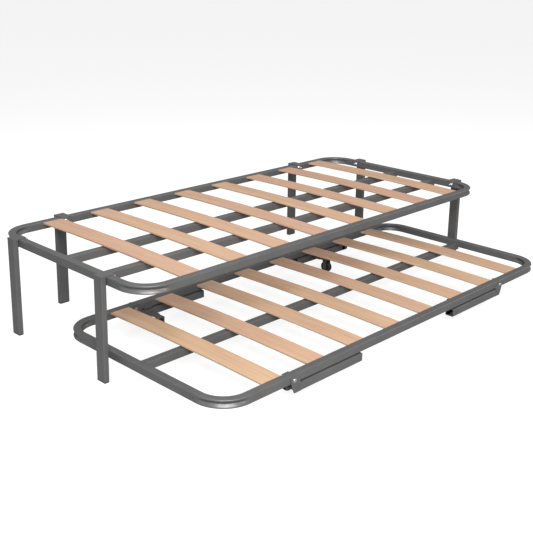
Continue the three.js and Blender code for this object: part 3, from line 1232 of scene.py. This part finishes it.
def area_light(name, power, size, place, target):
    """Adds a soft square light that faces a point."""
    bpy.ops.object.light_add(type="AREA", location=place)
    lamp = bpy.context.object
    lamp.name = name
    lamp.data.energy, lamp.data.size = power, size
    toward = Vector(target) - Vector(place)
    lamp.rotation_euler = toward.to_track_quat("-Z", "Y").to_euler()


def lay_floor(colour):
    """A white paper floor that is lit from behind: bright to look at, though it throws
    little light back on the bed."""
    bpy.ops.object.select_all(action="DESELECT")
    bpy.ops.mesh.primitive_plane_add(size=FLOOR_SIZE, location=(0, 0, FLOOR_HEIGHT))
    floor = bpy.context.object
    floor.name = "studio_floor"
    mat = bpy.data.materials.new("matt_white_paper")
    mat.use_nodes = True
    tree = mat.node_tree
    shader = tree.nodes["Principled BSDF"]
    for socket, value in (
        ("Base Color", shaded(colour, 1)),
        ("Roughness", 1.0),
        ("Specular IOR Level", 0.0),
        ("Emission Color", (1, 1, 1, 1)),
    ):
        shader.inputs[socket].default_value = value
    seen = node(tree, "ShaderNodeLightPath").outputs["Is Camera Ray"]
    glow = mapped(tree, seen, 0, 1, GLOW_ON_BED, GLOW_SEEN)
    tree.links.new(glow, shader.inputs["Emission Strength"])
    floor.data.materials.append(mat)


def place_camera():
    """The camera, turned by a yaw from +Y towards +X, a pitch and a roll."""
    bpy.ops.object.camera_add(location=CAMERA_PLACE)
    camera = bpy.context.object
    camera.name = "camera"
    forward = Vector(
        (
            math.sin(YAW) * math.cos(PITCH),
            math.cos(YAW) * math.cos(PITCH),
            math.sin(PITCH),
        )
    )
    right = Vector((math.cos(YAW), -math.sin(YAW), 0))
    up = right.cross(forward)
    level = Matrix((right, up, -forward)).transposed()
    camera.rotation_euler = (level @ Matrix.Rotation(ROLL, 3, "Z")).to_euler()
    camera.data.sensor_width = 36
    camera.data.lens = LENS
    camera.data.shift_y = SHIFT
    bpy.context.scene.camera = camera


class BED_OT_stage(bpy.types.Operator):
    """Adds the floor, the lights and the camera"""

    bl_idname = "trundlebed.stage"
    bl_label = "Stage"

    def execute(self, context):
        scene = context.scene
        stage = scene.bed_stage
        lay_floor(stage.floor)
        area_light("front_light", stage.key, 3.5, (-3.0, -3.6, 3.5), (0, 0, 0.2))
        area_light("side_light", stage.side, 2.5, (4.5, -3.0, 1.8), (0, 0, 0.2))
        area_light("top_light", stage.top, 2.2, (0.3, 1.3, 3.2), (0, 0, 0))
        world = bpy.data.worlds.new("pale_room")
        scene.world = world
        world.use_nodes = True
        background = world.node_tree.nodes["Background"]
        background.inputs["Color"].default_value = (1, 1, 1, 1)
        background.inputs["Strength"].default_value = stage.sky
        scene.view_settings.view_transform = "Standard"
        place_camera()
        return {"FINISHED"}


class BED_PT_panel(bpy.types.Panel):
    """Lists the sizes and colours, and the steps in their order"""

    bl_idname = "BED_PT_panel"
    bl_label = "Trundle bed"
    bl_space_type = "VIEW_3D"
    bl_region_type = "UI"
    bl_category = "Trundle bed"

    def draw(self, context):
        for group in ("bed_sizes", "bed_colours", "bed_stage"):
            box = self.layout.box()
            settings = getattr(context.scene, group)
            for name in settings.__annotations__:
                box.prop(settings, name)
        for step in STEPS:
            self.layout.operator(step.bl_idname)


STEPS = (
    BED_OT_stage,
    BED_OT_frames,
    BED_OT_bars,
    BED_OT_slats,
    BED_OT_legs,
    BED_OT_folding_legs,
    BED_OT_wheels,
)
GROUPS = (
    ("bed_sizes", BedSizes),
    ("bed_colours", BedColours),
    ("bed_stage", StageSettings),
)


def register():
    for name, group in GROUPS:
        bpy.utils.register_class(group)
        setattr(bpy.types.Scene, name, PointerProperty(type=group))
    for cls in (*STEPS, BED_PT_panel):
        bpy.utils.register_class(cls)


def unregister():
    for cls in reversed((*STEPS, BED_PT_panel)):
        bpy.utils.unregister_class(cls)
    for name, group in reversed(GROUPS):
        delattr(bpy.types.Scene, name)
        bpy.utils.unregister_class(group)


def main():
    register()
    for step in STEPS:
        getattr(bpy.ops.trundlebed, step.bl_idname.split(".")[1])()


if __name__ == "__main__":
    main()
